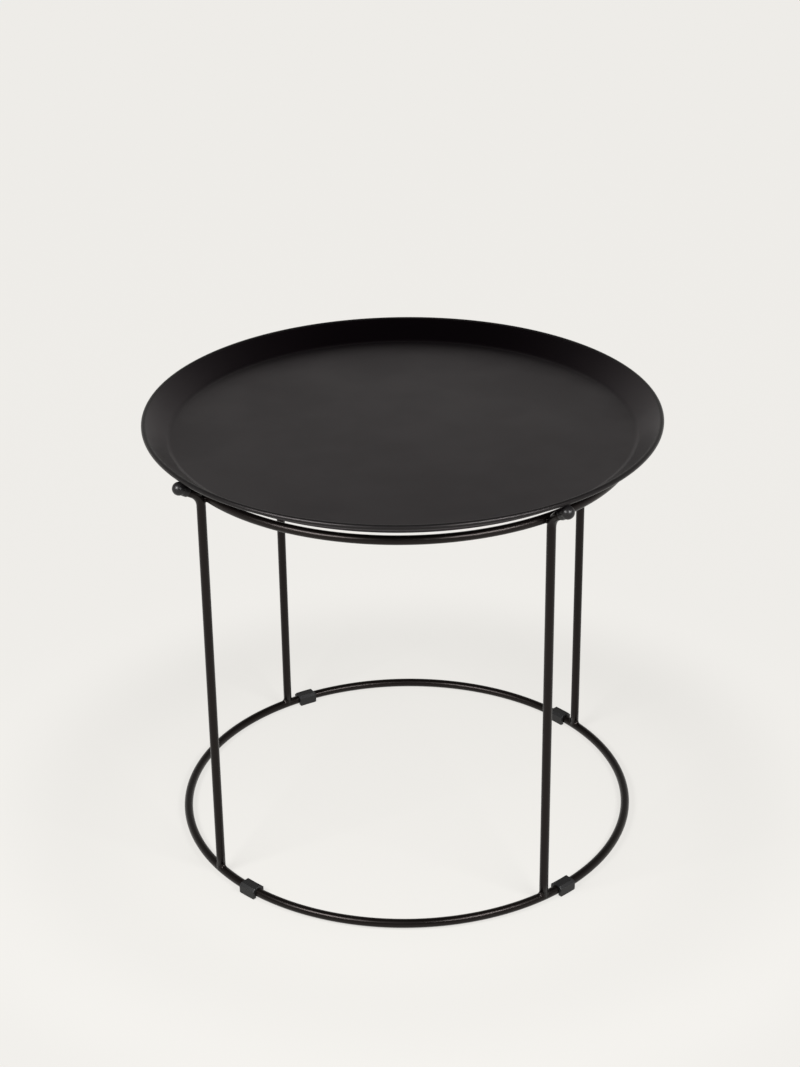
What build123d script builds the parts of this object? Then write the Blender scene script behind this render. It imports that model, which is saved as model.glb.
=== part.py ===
from build123d import *
import math
import os

# A low round tray table: a dished steel tray that lifts off a welded wire frame.
# +Z is up, the floor is Z = 0, and the table's axis is the Z axis. All sizes are in millimetres.

# Tray
RIM_R = 230.2           # outer radius of the rolled rim
RIM_Z = 406.1           # top of the rim, the highest point of the table
RIM_ROLL_R = 2.3        # radius of the rim's closed roll, which curls outwards under the wall
TRAY_FLOOR_Z = 389.4    # top of the tray's flat floor
TRAY_WALL_ANGLE = 40.0  # slope of the flared wall, in degrees from the floor
SHEET = 1.0             # thickness of the tray's steel
TRAY_BEND_R = 8.0       # inside radius of the bend between floor and wall

# Wire frame
WIRE_R = 4.0            # radius of all the wire
BASE_RING_R = 209.2     # centreline of the bottom ring, and the legs' distance from the axis
BASE_RING_Z = 5.5       # height of the bottom ring's centreline
TOP_RING_R = 202.6      # centreline of the top ring, which is welded inside the legs
TOP_RING_Z = 379.9
LEG_ANGLES = {"back_right": 45.0, "back_left": 135.0, "front_left": 225.0, "front_right": 315.0}

# Leg tips, which bend outwards under the tray's wall and carry it by its rim
TIP_Z = 395.4           # height of the centre of each tip's ball
TIP_R = 229.5           # the ball's distance from the axis
ELBOW_Z = 382.4         # where the leg's and the tip's centrelines meet
TIP_BEND_R = 16.0       # centreline radius of the bend
WIRE_END_GAP = 2.0      # from the end of the wire to the centre of the ball

# Push-on plastic caps of the tips
BALL_R = 5.9
SLEEVE_R = 4.9
SLEEVE_LENGTH = 9.0     # from the centre of the ball to the sleeve's mouth
SLEEVE_EDGE = 0.3

# Snap-on plastic glides of the bottom ring
GLIDE_ANGLES = {"back_right": 51.1, "back_left": 129.2, "front_left": 237.1, "front_right": 321.5}
GLIDE_LENGTH = 18.0
GLIDE_WIDTH = 12.6
GLIDE_HEIGHT = 11.0
GLIDE_CLEARANCE = 0.1   # radial gap between the ring and the glide's channel
GLIDE_TOP_CHAMFER = 2.2
GLIDE_FOOT_CHAMFER = 0.8
GLIDE_END_CHAMFER = 0.7
GLIDE_HEEL_R = 2.0      # rounding of the lower corners, seen from the side
CHANNEL_MOUTH = 6.4     # width of the slot that the wire snaps in through

# Weld beads
FOOT_BEAD = 2.4         # how far a foot's fillet spreads up the leg and along the ring
RING_BEAD = 1.6


def ring(centre_r, centre_z, wire_r):
    """A closed wire ring about the Z axis."""
    return Pos(0, 0, centre_z) * Torus(centre_r, wire_r)


def leg_path():
    """Centreline of a leg in the XZ plane: straight up, one bend, and the rising tip."""
    elbow = (BASE_RING_R, ELBOW_Z)
    reach, rise = TIP_R - elbow[0], TIP_Z - elbow[1]
    length = math.hypot(reach, rise)
    along = (reach / length, rise / length)
    end = (TIP_R - along[0] * WIRE_END_GAP, TIP_Z - along[1] * WIRE_END_GAP)
    bend = math.pi / 2 - math.atan2(rise, reach)
    tangent = TIP_BEND_R * math.tan(bend / 2)
    start_of_bend = (elbow[0], elbow[1] - tangent)
    end_of_bend = (elbow[0] + along[0] * tangent, elbow[1] + along[1] * tangent)
    points = [Vector(x, 0, z) for x, z in ((BASE_RING_R, BASE_RING_Z), start_of_bend, end_of_bend, end)]
    shaft = Line(points[0], points[1])
    arc = TangentArc(points[1], points[2], tangent=Vector(0, 0, 1))
    tip = Line(points[2], points[3])
    return Wire([shaft.edge(), arc.edge(), tip.edge()])


def leg_wire(wire_r):
    """The leg's wire on the XZ plane's +X side, before it is coped to the bottom ring."""
    path = leg_path()
    section = Plane(origin=path @ 0, z_dir=(0, 0, 1)) * Circle(wire_r)
    return sweep(section, path=path)


def tip_plane():
    """A plane at the ball's centre whose Z axis runs out along the tip."""
    outward = Vector(TIP_R - BASE_RING_R, 0, TIP_Z - ELBOW_Z)
    return Plane(origin=(TIP_R, 0, TIP_Z), x_dir=(0, 1, 0), z_dir=outward)


def tip_cap():
    """A ball with a sleeve that is pushed over the end of the leg's wire."""
    outer = Pos(0, 0, -SLEEVE_LENGTH) * Cylinder(
        SLEEVE_R, SLEEVE_LENGTH, align=(Align.CENTER, Align.CENTER, Align.MIN)
    )
    mouth = outer.edges().sort_by(Axis.Z)[0]
    outer = chamfer(mouth, SLEEVE_EDGE)
    socket = Pos(0, 0, -SLEEVE_LENGTH) * Cylinder(
        WIRE_R, SLEEVE_LENGTH - WIRE_END_GAP, align=(Align.CENTER, Align.CENTER, Align.MIN)
    )
    return tip_plane() * (outer + Sphere(BALL_R) - socket)


def tray():
    """The dished tray: a flat floor, a bend, a straight flared wall and a rolled rim."""
    wall = math.radians(TRAY_WALL_ANGLE)
    out = Vector(math.cos(wall), 0, math.sin(wall))
    inward = Vector(-math.sin(wall), 0, math.cos(wall))
    roll = Vector(RIM_R - RIM_ROLL_R, 0, RIM_Z - RIM_ROLL_R)
    roll_end = math.pi - math.asin((RIM_ROLL_R - SHEET) / RIM_ROLL_R)
    rim_inside = roll + inward * RIM_ROLL_R
    corner_r = rim_inside.X - (rim_inside.Z - TRAY_FLOOR_Z) / math.tan(wall)
    bend_centre = Vector(corner_r - TRAY_BEND_R * math.tan(wall / 2), 0, TRAY_FLOOR_Z + TRAY_BEND_R)

    def on_roll(angle):
        return roll + (out * math.cos(angle) + inward * math.sin(angle)) * RIM_ROLL_R

    def on_bend(radius, angle):
        return bend_centre + Vector(math.sin(angle), 0, -math.cos(angle)) * radius

    def bend(radius):
        return [on_bend(radius, wall * step / 2) for step in range(3)]

    inside, outside = bend(TRAY_BEND_R), bend(TRAY_BEND_R + SHEET)
    middle_top, middle_under = Vector(0, 0, TRAY_FLOOR_Z), Vector(0, 0, TRAY_FLOOR_Z - SHEET)
    curves = [
        Line(middle_top, inside[0]),
        ThreePointArc(*inside),
        Line(inside[-1], rim_inside),
        ThreePointArc(rim_inside, on_roll(-math.pi / 4), on_roll(roll_end)),
        Line(on_roll(roll_end), outside[-1]),
        ThreePointArc(*reversed(outside)),
        Line(outside[0], middle_under),
        Line(middle_under, middle_top),
    ]
    profile = make_face(Wire([curve.edge() for curve in curves]))
    return revolve(profile, axis=Axis.Z)


def glide():
    """An inverted-U clip bent to the ring, open below, centred on the XZ plane's +X side."""
    plane = Plane(origin=(BASE_RING_R, 0, 0), x_dir=(1, 0, 0), z_dir=(0, -1, 0))
    block = Pos(0, GLIDE_HEIGHT / 2) * Rectangle(GLIDE_WIDTH, GLIDE_HEIGHT)
    top = block.vertices().group_by(Axis.Y)[-1]
    block = chamfer(top, GLIDE_TOP_CHAMFER)
    foot = block.vertices().group_by(Axis.Y)[0]
    block = chamfer(foot, GLIDE_FOOT_CHAMFER)
    channel = Pos(0, BASE_RING_Z) * Circle(WIRE_R + GLIDE_CLEARANCE)
    slot = Pos(0, BASE_RING_Z / 2) * Rectangle(CHANNEL_MOUTH, BASE_RING_Z)
    section = plane * (block - channel - slot)
    arc = 2 * math.degrees(GLIDE_LENGTH / BASE_RING_R)
    strip = Rot(0, 0, -arc / 2) * revolve(section, axis=Axis.Z, revolution_arc=arc)
    side = Pos(0, GLIDE_HEIGHT / 2) * Rectangle(GLIDE_LENGTH, GLIDE_HEIGHT)
    side = fillet(side.vertices().group_by(Axis.Y)[0], GLIDE_HEEL_R)
    side = chamfer(side.vertices().group_by(Axis.Y)[-1], GLIDE_END_CHAMFER)
    across = Plane(origin=(BASE_RING_R, 0, 0), x_dir=(0, 1, 0), z_dir=(1, 0, 0))
    return strip & (across * extrude(side, GLIDE_WIDTH, both=True))


def bead(first, second, spread):
    """A weld bead: the space close to both wires, less the wires themselves."""
    return first(WIRE_R + spread) & second(WIRE_R + spread)


def bottom_ring_wire(wire_r):
    return ring(BASE_RING_R, BASE_RING_Z, wire_r)


def top_ring_wire(wire_r):
    return ring(TOP_RING_R, TOP_RING_Z, wire_r)


def around_axis(shape, angle):
    return Rot(0, 0, angle) * shape


bottom_ring = bottom_ring_wire(WIRE_R)
leg_blank = leg_wire(WIRE_R)
leg = leg_blank - bottom_ring
top_ring = top_ring_wire(WIRE_R)
for leg_angle in LEG_ANGLES.values():
    top_ring = top_ring - around_axis(leg_blank, leg_angle)

sides = Pos(BASE_RING_R, 0, BASE_RING_Z + 2 * WIRE_R) * Box(2 * WIRE_R - 1.0, 8 * WIRE_R, 4 * WIRE_R)
foot_weld = (bead(leg_wire, bottom_ring_wire, FOOT_BEAD) & sides) - leg_blank - bottom_ring
ring_weld = bead(leg_wire, top_ring_wire, RING_BEAD) - leg_blank - top_ring_wire(WIRE_R)

nodes = {"tray": tray(), "top_ring": top_ring, "bottom_ring": bottom_ring}
cap = tip_cap()
for place, leg_angle in LEG_ANGLES.items():
    nodes[f"leg_{place}"] = around_axis(leg, leg_angle)
    nodes[f"tip_cap_{place}"] = around_axis(cap, leg_angle)
    nodes[f"foot_weld_{place}"] = around_axis(foot_weld, leg_angle)
    nodes[f"ring_weld_{place}"] = around_axis(ring_weld, leg_angle)
clip = glide()
for place, glide_angle in GLIDE_ANGLES.items():
    nodes[f"glide_{place}"] = around_axis(clip, glide_angle)

os.makedirs("parts", exist_ok=True)
for name, shape in nodes.items():
    export_step(shape, f"parts/{name}.step")
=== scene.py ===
import math

import bmesh
import bpy
import numpy as np
from mathutils import Matrix, Vector


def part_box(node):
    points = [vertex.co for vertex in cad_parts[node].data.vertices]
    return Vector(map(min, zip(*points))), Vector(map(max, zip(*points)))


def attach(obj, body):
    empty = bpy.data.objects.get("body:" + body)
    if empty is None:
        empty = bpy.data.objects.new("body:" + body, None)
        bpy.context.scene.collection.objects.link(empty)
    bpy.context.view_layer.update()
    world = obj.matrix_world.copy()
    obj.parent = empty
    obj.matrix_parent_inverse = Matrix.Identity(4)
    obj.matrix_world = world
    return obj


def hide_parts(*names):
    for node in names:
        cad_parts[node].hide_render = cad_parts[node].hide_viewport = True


# A low round tray table: a dished tray resting on a welded wire frame.
# Everything is in metres in the part's frame: +Z up, the floor at Z = 0, the table's axis on Z.

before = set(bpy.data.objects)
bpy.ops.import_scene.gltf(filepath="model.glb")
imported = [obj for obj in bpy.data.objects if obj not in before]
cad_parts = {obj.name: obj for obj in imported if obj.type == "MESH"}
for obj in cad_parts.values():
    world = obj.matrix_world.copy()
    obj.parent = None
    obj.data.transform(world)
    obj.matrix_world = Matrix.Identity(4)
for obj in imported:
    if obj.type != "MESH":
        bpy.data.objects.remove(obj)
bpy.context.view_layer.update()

MM = 0.001
FULL_TURN = 2 * math.pi
ROUND_STEPS = 288            # steps round the table's axis
WIRE_STEPS = 28              # steps round a wire
RIM_STEPS = 32               # steps round the rim's roll
CAP_STEPS = 48               # steps round a cap
PLACES = ("front_left", "front_right", "back_left", "back_right")
LEG_TURN = {
    "back_right": math.radians(45),
    "back_left": math.radians(135),
    "front_left": math.radians(225),
    "front_right": math.radians(315),
}


# ---------------------------------------------------------------- sizes, read from the frame

def half_width(node):
    low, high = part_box(node)
    return (high.x - low.x) / 2


def mid_z(node):
    low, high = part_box(node)
    return (high.z + low.z) / 2


def place_of(node):
    """Middle of a node's box, seen from above."""
    low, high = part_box(node)
    return Vector(((low.x + high.x) / 2, (low.y + high.y) / 2, 0))


WIRE_R = 4 * MM
BASE_RING_R = 209.2 * MM
BASE_RING_Z = mid_z("bottom_ring")
TOP_RING_R = half_width("top_ring") - WIRE_R
TOP_RING_Z = mid_z("top_ring")

SHEET = 1.0 * MM
RIM_R = half_width("tray")
RIM_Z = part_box("tray")[1].z
TRAY_FLOOR_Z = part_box("tray")[0].z + SHEET
RIM_ROLL_R = 2.3 * MM
TRAY_WALL_ANGLE = math.radians(40.0)
TRAY_BEND_R = 8.0 * MM
RIM_COVER = 0.03 * MM        # the rim's own surface stands this much outside the dish's

TIP_R = 229.5 * MM
TIP_Z = 395.4 * MM
ELBOW_Z = 382.4 * MM
TIP_BEND_R = 16.0 * MM
WIRE_END_GAP = 2.0 * MM
BALL_R = 5.9 * MM
SLEEVE_R = 4.9 * MM
SLEEVE_LENGTH = 9.0 * MM
SLEEVE_LIP = 0.35 * MM

GLIDE_LENGTH = 18.0 * MM
GLIDE_WIDTH = 12.6 * MM
GLIDE_HEIGHT = 11.0 * MM
GLIDE_TOP_CHAMFER = 2.2 * MM
GLIDE_FOOT_CHAMFER = 0.8 * MM
GLIDE_END_CHAMFER = 0.7 * MM
GLIDE_HEEL_R = 2.0 * MM
GLIDE_CLEARANCE = 0.1 * MM
GLIDE_ROUNDING = 0.35 * MM
CHANNEL_HALF_MOUTH = 3.2 * MM


# ---------------------------------------------------------------- mesh helpers

def mesh_object(name, points, faces, smooth=True):
    mesh = bpy.data.meshes.new(name)
    mesh.from_pydata([tuple(point) for point in points], [], faces)
    mesh.update()
    piece = bpy.data.objects.new(name, mesh)
    bpy.context.scene.collection.objects.link(piece)
    for polygon in mesh.polygons:
        polygon.use_smooth = smooth
    return piece


def outward(piece):
    """Turns every face of a closed mesh outwards."""
    work = bmesh.new()
    work.from_mesh(piece.data)
    bmesh.ops.remove_doubles(work, verts=work.verts, dist=1e-7)
    bmesh.ops.recalc_face_normals(work, faces=work.faces)
    work.to_mesh(piece.data)
    work.free()
    return piece


def turned(piece, angle):
    piece.data.transform(Matrix.Rotation(angle, 4, "Z"))
    return piece


def lathe(name, profile, steps):
    """Revolves (radius, height) points about Z. A point on the axis is shared by all its faces."""
    points, rows = [], []
    for radius, height in profile:
        if radius < 1e-9:
            rows.append([len(points)] * steps)
            points.append((0, 0, height))
            continue
        rows.append(list(range(len(points), len(points) + steps)))
        for step in range(steps):
            turn = FULL_TURN * step / steps
            points.append((radius * math.cos(turn), radius * math.sin(turn), height))
    faces = []
    for low, high in zip(rows, rows[1:]):
        for step in range(steps):
            after = (step + 1) % steps
            corners = [low[step], low[after], high[after], high[step]]
            faces.append(list(dict.fromkeys(corners)))
    return outward(mesh_object(name, points, faces))


def tube(name, path, radius, steps, closed=False):
    """A round wire along a list of points, with flat ends unless it is closed."""
    path = [Vector(point) for point in path]
    count = len(path)
    points, side = [], None
    for index, point in enumerate(path):
        if closed:
            along = path[(index + 1) % count] - path[index - 1]
        else:
            along = path[min(index + 1, count - 1)] - path[max(index - 1, 0)]
        along.normalize()
        side = side or along.orthogonal()
        side = (side - along * side.dot(along)).normalized()
        other = along.cross(side)
        for step in range(steps):
            turn = FULL_TURN * step / steps
            points.append(point + (side * math.cos(turn) + other * math.sin(turn)) * radius)
    faces = []
    for index in range(count if closed else count - 1):
        here, there = index * steps, (index + 1) % count * steps
        for step in range(steps):
            after = (step + 1) % steps
            faces.append([here + step, here + after, there + after, there + step])
    if not closed:
        faces.append(list(range(steps)))
        faces.append(list(range((count - 1) * steps, count * steps)))
    return outward(mesh_object(name, points, faces))


def arc_points(centre, radius, start, end, count):
    """Points of a plane arc, as (x, z) pairs, from one angle to another."""
    turns = (start + (end - start) * step / count for step in range(count + 1))
    return [(centre[0] + radius * math.cos(turn), centre[1] + radius * math.sin(turn)) for turn in turns]


def circle_path(radius, height):
    """Points of a circle about the Z axis."""
    turns = (FULL_TURN * step / ROUND_STEPS for step in range(ROUND_STEPS))
    return [(radius * math.cos(turn), radius * math.sin(turn), height) for turn in turns]


# ---------------------------------------------------------------- materials

def node_material(name):
    material = bpy.data.materials.new(name)
    material.use_nodes = True
    tree = material.node_tree
    shader = tree.nodes["Principled BSDF"]
    place = tree.nodes.new("ShaderNodeTexCoord").outputs["Object"]
    return material, tree, shader, place


def noise(tree, place, size, detail=2.0, roughness=0.5):
    """Noise whose lumps are about size across."""
    node = tree.nodes.new("ShaderNodeTexNoise")
    node.inputs["Scale"].default_value = 1 / size
    node.inputs["Detail"].default_value = detail
    node.inputs["Roughness"].default_value = roughness
    tree.links.new(place, node.inputs["Vector"])
    return node.outputs["Fac"]


def ranged(tree, value, start, end, low, high):
    """Takes a value running from start to end smoothly to the range low to high."""
    node = tree.nodes.new("ShaderNodeMapRange")
    node.interpolation_type = "SMOOTHSTEP"
    node.inputs["From Min"].default_value = start
    node.inputs["From Max"].default_value = end
    node.inputs["To Min"].default_value = low
    node.inputs["To Max"].default_value = high
    tree.links.new(value, node.inputs["Value"])
    return node.outputs["Result"]


def spread(tree, value, low, high):
    """Takes a noise value to the range low to high."""
    return ranged(tree, value, 0.3, 0.7, low, high)


def between(tree, value, first, second):
    """Mixes two colours by a noise value."""
    node = tree.nodes.new("ShaderNodeMix")
    node.data_type = "RGBA"
    node.inputs["A"].default_value = (*first, 1)
    node.inputs["B"].default_value = (*second, 1)
    tree.links.new(value, node.inputs["Factor"])
    return node.outputs["Result"]


def bumps(tree, layers):
    """Stacks bump layers, each (height value, depth)."""
    normal = None
    for height, depth in layers:
        node = tree.nodes.new("ShaderNodeBump")
        node.inputs["Strength"].default_value = 1.0
        node.inputs["Distance"].default_value = depth
        tree.links.new(height, node.inputs["Height"])
        if normal:
            tree.links.new(normal, node.inputs["Normal"])
        normal = node.outputs["Normal"]
    return normal


def coated_metal(name, dark, light, gloss, shine, tint, peel_size, peel_depth):
    """Satin powder coat: orange peel, a fine grain and a little unevenness in tone and gloss."""
    material, tree, shader, place = node_material(name)
    cloud = noise(tree, place, 60 * MM, detail=3.0)
    peel = noise(tree, place, peel_size, detail=1.0)
    grain = noise(tree, place, 0.25 * MM, detail=1.0)
    shader.inputs["Specular IOR Level"].default_value = shine
    shader.inputs["Specular Tint"].default_value = (*tint, 1)
    tree.links.new(between(tree, cloud, dark, light), shader.inputs["Base Color"])
    tree.links.new(spread(tree, cloud, *gloss), shader.inputs["Roughness"])
    layers = [(peel, peel_depth), (grain, peel_depth * 0.25)]
    tree.links.new(bumps(tree, layers), shader.inputs["Normal"])
    return material


def moulded_plastic(name, dark, light, gloss, shine, grain_size, grain_depth):
    """Black moulded plastic with a fine spark-eroded grain."""
    material, tree, shader, place = node_material(name)
    cloud = noise(tree, place, 6 * MM, detail=2.0)
    grain = noise(tree, place, grain_size, detail=3.0, roughness=0.6)
    shader.inputs["Specular IOR Level"].default_value = shine
    tree.links.new(between(tree, cloud, dark, light), shader.inputs["Base Color"])
    tree.links.new(spread(tree, grain, *gloss), shader.inputs["Roughness"])
    tree.links.new(bumps(tree, [(grain, grain_depth)]), shader.inputs["Normal"])
    return material


TRAY_COAT = coated_metal(
    "tray_powder_coat",
    dark=(0.0085, 0.0042, 0.0075),
    light=(0.0110, 0.0058, 0.0098),
    gloss=(0.32, 0.37),
    shine=0.34,
    tint=(1.0, 0.82, 0.92),
    peel_size=1.6 * MM,
    peel_depth=0.007 * MM,
)
# The rim's coat is the tray's powder coat made darker and less shiny: painted shade that offsets the
# lamps, which light the rim but not the dish.
RIM_SHADED_COAT = coated_metal(
    "rim_coat_painted_shade",
    dark=(0.0044, 0.0040, 0.0041),
    light=(0.0060, 0.0055, 0.0057),
    gloss=(0.32, 0.37),
    shine=0.20,
    tint=(1.0, 0.92, 0.92),
    peel_size=1.6 * MM,
    peel_depth=0.007 * MM,
)
WIRE_COAT = coated_metal(
    "wire_powder_coat",
    dark=(0.0020, 0.0015, 0.0013),
    light=(0.0030, 0.0023, 0.0020),
    gloss=(0.26, 0.33),
    shine=0.22,
    tint=(0.98, 0.86, 0.83),
    peel_size=1.2 * MM,
    peel_depth=0.010 * MM,
)
CAP_PLASTIC = moulded_plastic(
    "cap_plastic",
    dark=(0.0050, 0.0044, 0.0047),
    light=(0.0070, 0.0063, 0.0067),
    gloss=(0.32, 0.40),
    shine=0.30,
    grain_size=0.5 * MM,
    grain_depth=0.010 * MM,
)
GLIDE_PLASTIC = moulded_plastic(
    "glide_plastic",
    dark=(0.0050, 0.0050, 0.0053),
    light=(0.0070, 0.0070, 0.0074),
    gloss=(0.45, 0.56),
    shine=0.35,
    grain_size=0.35 * MM,
    grain_depth=0.020 * MM,
)


def finished(piece, material, slot, body, *nodes):
    """Gives a piece its material, its body and the CAD nodes that it stands for."""
    piece.data.materials.clear()
    piece.data.materials.append(material)
    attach(piece, body)
    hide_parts(*nodes)
    return piece


# ---------------------------------------------------------------- tray

def straight(first, last, count):
    """Points strictly between two (radius, height) points."""
    return [tuple(a + (b - a) * step / count for a, b in zip(first, last)) for step in range(1, count)]


def tray_profile():
    """Section of the dish from the middle of its floor, over the rolled rim and back underneath."""
    slope, across = math.cos(TRAY_WALL_ANGLE), math.sin(TRAY_WALL_ANGLE)
    roll = (RIM_R - RIM_ROLL_R, RIM_Z - RIM_ROLL_R)
    rim_inside = (roll[0] - across * RIM_ROLL_R, roll[1] + slope * RIM_ROLL_R)
    corner_r = rim_inside[0] - (rim_inside[1] - TRAY_FLOOR_Z) * slope / across
    bend_centre = (corner_r - TRAY_BEND_R * math.tan(TRAY_WALL_ANGLE / 2), TRAY_FLOOR_Z + TRAY_BEND_R)
    down = -math.pi / 2
    floor_radii = [bend_centre[0] * step / 8 for step in range(8)]
    inner_bend = arc_points(bend_centre, TRAY_BEND_R, down, down + TRAY_WALL_ANGLE, 12)
    outer_bend = arc_points(bend_centre, TRAY_BEND_R + SHEET, down + TRAY_WALL_ANGLE, down, 12)
    meet = math.pi + math.asin((RIM_ROLL_R - SHEET) / RIM_ROLL_R)
    rolled = arc_points(roll, RIM_ROLL_R - RIM_COVER, TRAY_WALL_ANGLE - down, TRAY_WALL_ANGLE - meet, 30)
    top = [(radius, TRAY_FLOOR_Z) for radius in floor_radii] + inner_bend
    under = [(radius, TRAY_FLOOR_Z - SHEET) for radius in reversed(floor_radii)]
    wall = straight(inner_bend[-1], rolled[0], 4)
    under_wall = straight(rolled[-1], outer_bend[0], 4)
    return top + wall + rolled + under_wall + outer_bend + under


def make_tray():
    piece = lathe("tray_dish", tray_profile(), ROUND_STEPS)
    return finished(piece, TRAY_COAT, "tray_powder_coat", "tray", "tray")


def make_rim():
    """The rolled rim's own surface, which covers the roll at the end of the dish's section, in a darker
    copy of the tray's coat that paints shade on it.
    """
    path = circle_path(RIM_R - RIM_ROLL_R, RIM_Z - RIM_ROLL_R)
    piece = tube("tray_rolled_rim", path, RIM_ROLL_R, RIM_STEPS, closed=True)
    # The rim wears the darker copy of the tray's coat, with painted shade against the lamps that light
    # it.
    return finished(piece, RIM_SHADED_COAT, "tray_powder_coat", "tray", "tray")


# ---------------------------------------------------------------- wire frame

def make_ring(name, radius, height, node):
    piece = tube(name, circle_path(radius, height), WIRE_R, WIRE_STEPS, closed=True)
    return finished(piece, WIRE_COAT, "wire_powder_coat", "frame", node)


def tip_direction():
    return Vector((TIP_R - BASE_RING_R, 0, TIP_Z - ELBOW_Z)).normalized()


def tip_rise():
    """Angle of the tip above the floor."""
    along = tip_direction()
    return math.atan2(along.z, along.x)


def leg_bend_centre():
    tangent = TIP_BEND_R * math.tan((math.pi / 2 - tip_rise()) / 2)
    return BASE_RING_R + TIP_BEND_R, ELBOW_Z - tangent


def leg_path():
    """Centreline of a leg: up from the bottom ring, round the elbow and out along the tip."""
    centre = leg_bend_centre()
    shaft = [(BASE_RING_R, BASE_RING_Z + (centre[1] - BASE_RING_Z) * step / 24) for step in range(24)]
    elbow = arc_points(centre, TIP_BEND_R, math.pi, math.pi / 2 + tip_rise(), 14)
    end = Vector((TIP_R, 0, TIP_Z)) - tip_direction() * WIRE_END_GAP
    return [(x, 0, z) for x, z in shaft + elbow] + [tuple(end)]


def make_leg(place):
    piece = turned(tube(f"leg_wire_{place}", leg_path(), WIRE_R, WIRE_STEPS), LEG_TURN[place])
    return finished(piece, WIRE_COAT, "wire_powder_coat", "frame", f"leg_{place}")


# ---------------------------------------------------------------- welds

FOOT_SOFTNESS = 3.4 * MM     # size of the fillet between a leg and the bottom ring
FOOT_REACH = 8.5 * MM        # no part of the foot's bead is farther than this from its centre
FOOT_RIPPLES = 7
JOINT_SOFTNESS = 1.8 * MM    # the same for a leg and the top ring
JOINT_REACH = 8.0 * MM
JOINT_RIPPLES = 5
RIPPLE_DEPTH = 0.10          # how much a bead's size varies along it
BEAD_SUNK = 0.03 * MM        # keeps a bead under the wires' surface away from the corner
BEAD_ROWS = 72
BEAD_COLUMNS = 96
HALVINGS = 40                # steps of the search for a bead's surface


def distance_to_leg(points):
    """Distance from a leg's wire: its straight part, which ends round, and its bend."""
    x, y, z = points.T
    bend_x, bend_z = leg_bend_centre()
    beyond = z - np.clip(z, BASE_RING_Z, bend_z)
    from_straight = np.sqrt((x - BASE_RING_R) ** 2 + y**2 + beyond**2)
    from_bend = np.hypot(np.hypot(x - bend_x, z - bend_z) - TIP_BEND_R, y)
    on_bend = (z > bend_z) & (x < bend_x)
    return np.where(on_bend, from_bend, from_straight) - WIRE_R


def distance_to_ring(points, radius, height):
    from_line = np.hypot(points[:, 0], points[:, 1]) - radius
    return np.hypot(from_line, points[:, 2] - height) - WIRE_R


def slope_of(field, points):
    """Unit direction in which a distance field grows fastest."""
    small = 0.01 * MM
    steps = [field(points + np.eye(3)[axis] * small) - field(points) for axis in range(3)]
    slope = np.stack(steps, -1)
    return slope / np.maximum(np.linalg.norm(slope, axis=-1, keepdims=True), 1e-12)


def blended(first, second, points, softness):
    """Joins two wires with a fillet in the corners between them, and none where they run flush."""
    corner = 1 - np.clip((slope_of(first, points) * slope_of(second, points)).sum(-1), 0, 1)
    softness = softness * corner + 1e-9
    one, other = first(points), second(points)
    mix = np.clip(0.5 + 0.5 * (other - one) / softness, 0, 1)
    return other * (1 - mix) + one * mix - softness * mix * (1 - mix)


def weld_bead(name, centre, radius, height, softness, reach, ripples):
    """A closed lump inside both wires that stands out of them only in the corner between them."""
    rows, columns = BEAD_ROWS, BEAD_COLUMNS
    centre = np.array(centre)
    rise = np.linspace(-math.pi / 2, math.pi / 2, rows + 1)[1:-1]
    turn = np.linspace(0, FULL_TURN, columns, endpoint=False)
    rise_grid, turn_grid = np.meshgrid(rise, turn, indexing="ij")
    level = np.cos(rise_grid)
    rays = np.stack([level * np.cos(turn_grid), level * np.sin(turn_grid), np.sin(rise_grid)], -1)
    rays = np.vstack([rays.reshape(-1, 3), [(0, 0, -1), (0, 0, 1)]])
    ripple = 1 + RIPPLE_DEPTH * np.sin(ripples * np.arctan2(rays[:, 1], rays[:, 0]) + 2 * rays[:, 2])

    def to_ring(points):
        return distance_to_ring(points, radius, height)

    def field(lengths):
        points = centre + rays * lengths[:, None]
        return blended(distance_to_leg, to_ring, points, softness * ripple) + BEAD_SUNK

    near, far = np.full(len(rays), 0.1 * MM), np.full(len(rays), reach)
    for _ in range(HALVINGS):
        middle = (near + far) / 2
        inside = field(middle) < 0
        near, far = np.where(inside, middle, near), np.where(inside, far, middle)
    points = centre + rays * near[:, None]
    faces = []
    for row in range(rows - 2):
        for column in range(columns):
            after = (column + 1) % columns
            low, high = row * columns, (row + 1) * columns
            faces.append([low + column, low + after, high + after, high + column])
    bottom, top = len(rays) - 2, len(rays) - 1
    last = (rows - 2) * columns
    for column in range(columns):
        after = (column + 1) % columns
        faces.append([bottom, after, column])
        faces.append([top, last + column, last + after])
    return outward(mesh_object(name, points.tolist(), faces))


def make_welds(place):
    foot_centre = (BASE_RING_R, 0, BASE_RING_Z + 2 * MM)
    foot = weld_bead(
        f"foot_bead_{place}",
        foot_centre,
        BASE_RING_R,
        BASE_RING_Z,
        FOOT_SOFTNESS,
        FOOT_REACH,
        FOOT_RIPPLES,
    )
    joint_centre = ((BASE_RING_R + TOP_RING_R) / 2, 0, TOP_RING_Z)
    joint = weld_bead(
        f"ring_bead_{place}",
        joint_centre,
        TOP_RING_R,
        TOP_RING_Z,
        JOINT_SOFTNESS,
        JOINT_REACH,
        JOINT_RIPPLES,
    )
    turned(foot, LEG_TURN[place])
    turned(joint, LEG_TURN[place])
    return (
        finished(foot, WIRE_COAT, "wire_powder_coat", "frame", f"foot_weld_{place}"),
        finished(joint, WIRE_COAT, "wire_powder_coat", "frame", f"ring_weld_{place}"),
    )


# ---------------------------------------------------------------- tip caps

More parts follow.
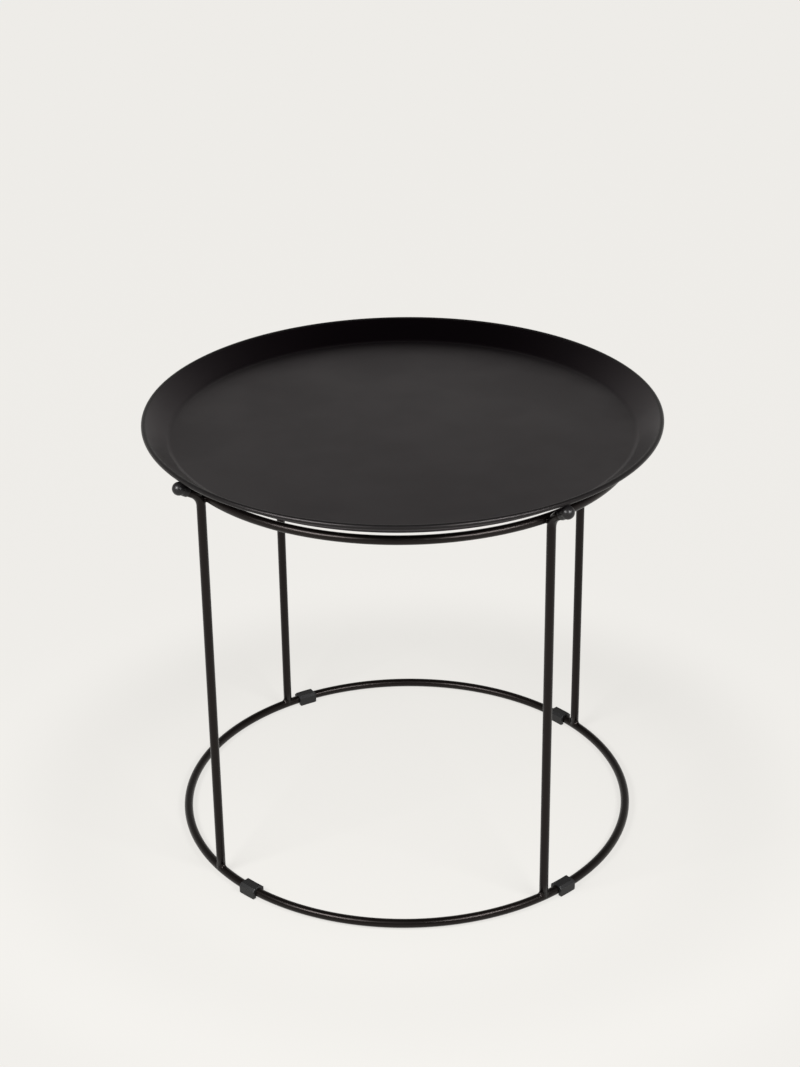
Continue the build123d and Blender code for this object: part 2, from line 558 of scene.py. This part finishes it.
def cap_profile():
    """Section of a cap from the sleeve's socket, over its mouth, to the top of the ball."""
    mouth = -SLEEVE_LENGTH
    lip = SLEEVE_LIP
    meet = math.asin(SLEEVE_R / BALL_R)
    neck = -math.sqrt(BALL_R**2 - SLEEVE_R**2)
    socket = [(0, -WIRE_END_GAP), (WIRE_R, -WIRE_END_GAP), (WIRE_R, mouth)]
    rim = arc_points((SLEEVE_R - lip, mouth + lip), lip, -math.pi / 2, 0, 5)
    sleeve = [(SLEEVE_R, mouth + (neck - mouth) * step / 4) for step in range(1, 4)]
    ball = arc_points((0, 0), BALL_R, meet - math.pi / 2, math.pi / 2, 22)
    ball[-1] = (0, BALL_R)
    return socket + rim + sleeve + ball


def make_cap(place):
    piece = lathe(f"cap_ball_{place}", cap_profile(), CAP_STEPS)
    along = tip_direction()
    piece.data.transform(along.to_track_quat("Z", "Y").to_matrix().to_4x4())
    piece.data.transform(Matrix.Translation((TIP_R, 0, TIP_Z)))
    turned(piece, LEG_TURN[place])
    return finished(piece, CAP_PLASTIC, "cap_plastic", "frame", f"tip_cap_{place}")


# ---------------------------------------------------------------- glides

def glide_outline():
    """Cross-section of a glide, as (radial, height) pairs: outside first, then the open channel."""
    half, chamfer, foot = GLIDE_WIDTH / 2, GLIDE_TOP_CHAMFER, GLIDE_FOOT_CHAMFER
    channel_r, mouth = WIRE_R + GLIDE_CLEARANCE, CHANNEL_HALF_MOUTH
    slot_turn = math.acos(mouth / channel_r)
    outside = [
        (half - foot, 0),
        (half, foot),
        (half, GLIDE_HEIGHT - chamfer),
        (half - chamfer, GLIDE_HEIGHT),
        (chamfer - half, GLIDE_HEIGHT),
        (-half, GLIDE_HEIGHT - chamfer),
        (-half, foot),
        (foot - half, 0),
        (-mouth, 0),
    ]
    channel = arc_points((0, BASE_RING_Z), channel_r, math.pi + slot_turn, -slot_turn, 18)
    return outside + channel + [(mouth, 0)]


def glide_slices():
    """Each slice along a glide, as (distance along, lowest height, highest height)."""
    half, heel, chamfer = GLIDE_LENGTH / 2, GLIDE_HEEL_R, GLIDE_END_CHAMFER
    turns = [math.pi / 2 * part / 7 for part in range(8)]
    end = [(half - heel * (1 - math.sin(turn)), heel * (1 - math.cos(turn))) for turn in turns]
    right = [(along, low, GLIDE_HEIGHT - max(0, along - half + chamfer)) for along, low in end]
    heel_low = heel * (1 - math.sqrt(1 - ((heel - chamfer) / heel) ** 2))
    right = sorted(right + [(half - chamfer, heel_low, GLIDE_HEIGHT)])
    left = [(-along, low, high) for along, low, high in reversed(right)]
    middle = [((half - heel) * part / 3, 0, GLIDE_HEIGHT) for part in range(-2, 3)]
    return left + middle + right


def make_glide(place):
    outline = glide_outline()
    points = []
    slices = glide_slices()
    for along, low, high in slices:
        for radial, height in outline:
            across = math.sqrt((BASE_RING_R + radial) ** 2 - along**2)
            points.append((across, along, min(max(height, low), high)))
    count = len(outline)
    last = (len(slices) - 1) * count
    faces = [list(range(count)), list(range(last, last + count))]
    for here in range(0, last, count):
        for step in range(count):
            after = (step + 1) % count
            faces.append([here + step, here + after, here + count + after, here + count + step])
    piece = outward(mesh_object(f"glide_clip_{place}", points, faces))
    rounding = piece.modifiers.new("edges", "BEVEL")
    rounding.width = GLIDE_ROUNDING
    rounding.segments = 2
    rounding.angle_limit = math.radians(25)
    rounding.harden_normals = True
    centre = place_of(f"glide_{place}")
    turned(piece, math.atan2(centre.y, centre.x))
    return finished(piece, GLIDE_PLASTIC, "glide_plastic", f"glide_{place}", f"glide_{place}")


make_tray()
lit_by_lamps = [
    make_rim(),
    make_ring("base_ring_wire", BASE_RING_R, BASE_RING_Z, "bottom_ring"),
    make_ring("top_ring_wire", TOP_RING_R, TOP_RING_Z, "top_ring"),
]
for corner in PLACES:
    lit_by_lamps += [make_leg(corner), *make_welds(corner), make_cap(corner), make_glide(corner)]


# ---------------------------------------------------------------- floor, light and camera

FLOOR_REACH = 40             # so far out that its edges are never in view
FLOOR_DROP = 0.05 * MM       # keeps the floor's surface off the glides' feet
FLOOR_NEAR = 0.24            # within this distance of the axis, the floor takes the table's shadow
FLOOR_FAR = 0.50             # beyond this distance, it is even
FLOOR_TINT = (0.863, 0.847, 0.815, 1)
FLOOR_FAR_COLOUR = (0.02, 0.0197, 0.019)
FLOOR_NEAR_COLOUR = (0.13, 0.128, 0.122)
FLOOR_FAR_GLOW = 0.985
FLOOR_NEAR_GLOW = 0.80

# Brightness at each height, from 0 at the horizon to 1 straight overhead.
SKY_LEVELS = (
    (0.0, 0.86),
    (0.03, 0.80),
    (0.12, 0.60),
    (0.25, 0.56),
    (0.50, 0.45),
    (0.70, 0.12),
    (1.0, 0.04),
)
SKY_GREEN = 0.981            # green and blue as parts of red
SKY_BLUE = 0.944

SOFTBOX_WIDTH = 0.65
SOFTBOX_HEIGHT = 0.25

CAMERA_DISTANCE = 1.8284     # along the floor from the table's axis
CAMERA_HEIGHT = 1.2
CAMERA_SIDE = math.radians(9.5)
CAMERA_HEADING = math.radians(9.607)
CAMERA_PITCH = math.radians(26.596)
CAMERA_ROLL = math.radians(-0.703)


def make_floor():
    """A pale floor that mostly shines evenly, and takes a soft shadow close to the table."""
    corners = [
        (-FLOOR_REACH, -FLOOR_REACH, -FLOOR_DROP),
        (FLOOR_REACH, -FLOOR_REACH, -FLOOR_DROP),
        (FLOOR_REACH, FLOOR_REACH, -FLOOR_DROP),
        (-FLOOR_REACH, FLOOR_REACH, -FLOOR_DROP),
    ]
    piece = mesh_object("floor", corners, [[0, 1, 2, 3]])
    material, tree, shader, place = node_material("pale_floor")
    away = tree.nodes.new("ShaderNodeVectorMath")
    away.operation = "LENGTH"
    tree.links.new(place, away.inputs[0])
    near = ranged(tree, away.outputs["Value"], FLOOR_FAR, FLOOR_NEAR, 0.0, 1.0)
    colour = between(tree, near, FLOOR_FAR_COLOUR, FLOOR_NEAR_COLOUR)
    glow = ranged(tree, near, 0.0, 1.0, FLOOR_FAR_GLOW, FLOOR_NEAR_GLOW)
    tree.links.new(colour, shader.inputs["Base Color"])
    tree.links.new(glow, shader.inputs["Emission Strength"])
    shader.inputs["Emission Color"].default_value = FLOOR_TINT
    shader.inputs["Roughness"].default_value = 0.9
    shader.inputs["Specular IOR Level"].default_value = 0.0
    piece.data.materials.append(material)
    return piece


def make_softbox(name, where, power, lit):
    """A wide soft lamp that faces the top of the frame and lights the pieces of one collection."""
    light = bpy.data.lights.new(name, "AREA")
    light.shape = "RECTANGLE"
    light.size = SOFTBOX_WIDTH
    light.size_y = SOFTBOX_HEIGHT
    light.energy = power
    lamp = bpy.data.objects.new(name, light)
    bpy.context.scene.collection.objects.link(lamp)
    lamp.location = where
    away = Vector(where) - Vector((0, 0, TOP_RING_Z))
    lamp.rotation_mode = "QUATERNION"
    lamp.rotation_quaternion = away.to_track_quat("Z", "Y")
    lamp.visible_camera = False
    lamp.light_linking.receiver_collection = lit


def make_studio():
    """Surroundings that are pale near the horizon, dimmer behind the camera and dark overhead."""
    world = bpy.data.worlds.new("studio")
    bpy.context.scene.world = world
    world.use_nodes = True
    tree = world.node_tree
    place = tree.nodes.new("ShaderNodeTexCoord").outputs["Generated"]
    split = tree.nodes.new("ShaderNodeSeparateXYZ")
    tree.links.new(place, split.inputs["Vector"])
    ramp = tree.nodes.new("ShaderNodeValToRGB")
    tree.links.new(split.outputs["Z"], ramp.inputs["Fac"])
    stops = ramp.color_ramp.elements
    while len(stops) < len(SKY_LEVELS):
        stops.new(0.5)
    for stop, (height, level) in zip(stops, SKY_LEVELS):
        stop.position = height
        stop.color = (level, level * SKY_GREEN, level * SKY_BLUE, 1)
    behind = ranged(tree, split.outputs["Y"], -0.7, 0.5, 0.25, 1.0)
    low_down = ranged(tree, split.outputs["Z"], 0.02, 0.30, 1.0, 0.0)
    level = tree.nodes.new("ShaderNodeMath")
    level.operation = "MAXIMUM"
    tree.links.new(behind, level.inputs[0])
    tree.links.new(low_down, level.inputs[1])
    tree.links.new(ramp.outputs["Color"], tree.nodes["Background"].inputs["Color"])
    tree.links.new(level.outputs["Value"], tree.nodes["Background"].inputs["Strength"])


def make_camera():
    """A camera in front of the table, a little above it."""
    data = bpy.data.cameras.new("camera")
    data.sensor_width = 36
    data.lens = 76.0
    data.clip_start = 0.05
    data.clip_end = 50
    camera = bpy.data.objects.new("camera", data)
    bpy.context.scene.collection.objects.link(camera)
    across, back = math.sin(CAMERA_SIDE), math.cos(CAMERA_SIDE)
    where = Vector((CAMERA_DISTANCE * across, -CAMERA_DISTANCE * back, CAMERA_HEIGHT))
    camera.matrix_world = (
        Matrix.Translation(where)
        @ Matrix.Rotation(CAMERA_HEADING, 4, "Z")
        @ Matrix.Rotation(math.pi / 2 - CAMERA_PITCH, 4, "X")
        @ Matrix.Rotation(CAMERA_ROLL, 4, "Z")
    )
    bpy.context.scene.camera = camera


keyed = bpy.data.collections.new("keyed")
for piece in [*lit_by_lamps, make_floor()]:
    keyed.objects.link(piece)
make_studio()
make_softbox("key_left", (-0.62, -0.94, 1.01), 22, keyed)
make_softbox("key_right", (0.83, -0.77, 1.01), 20, keyed)
make_camera()
bpy.context.scene.view_settings.view_transform = "Standard"
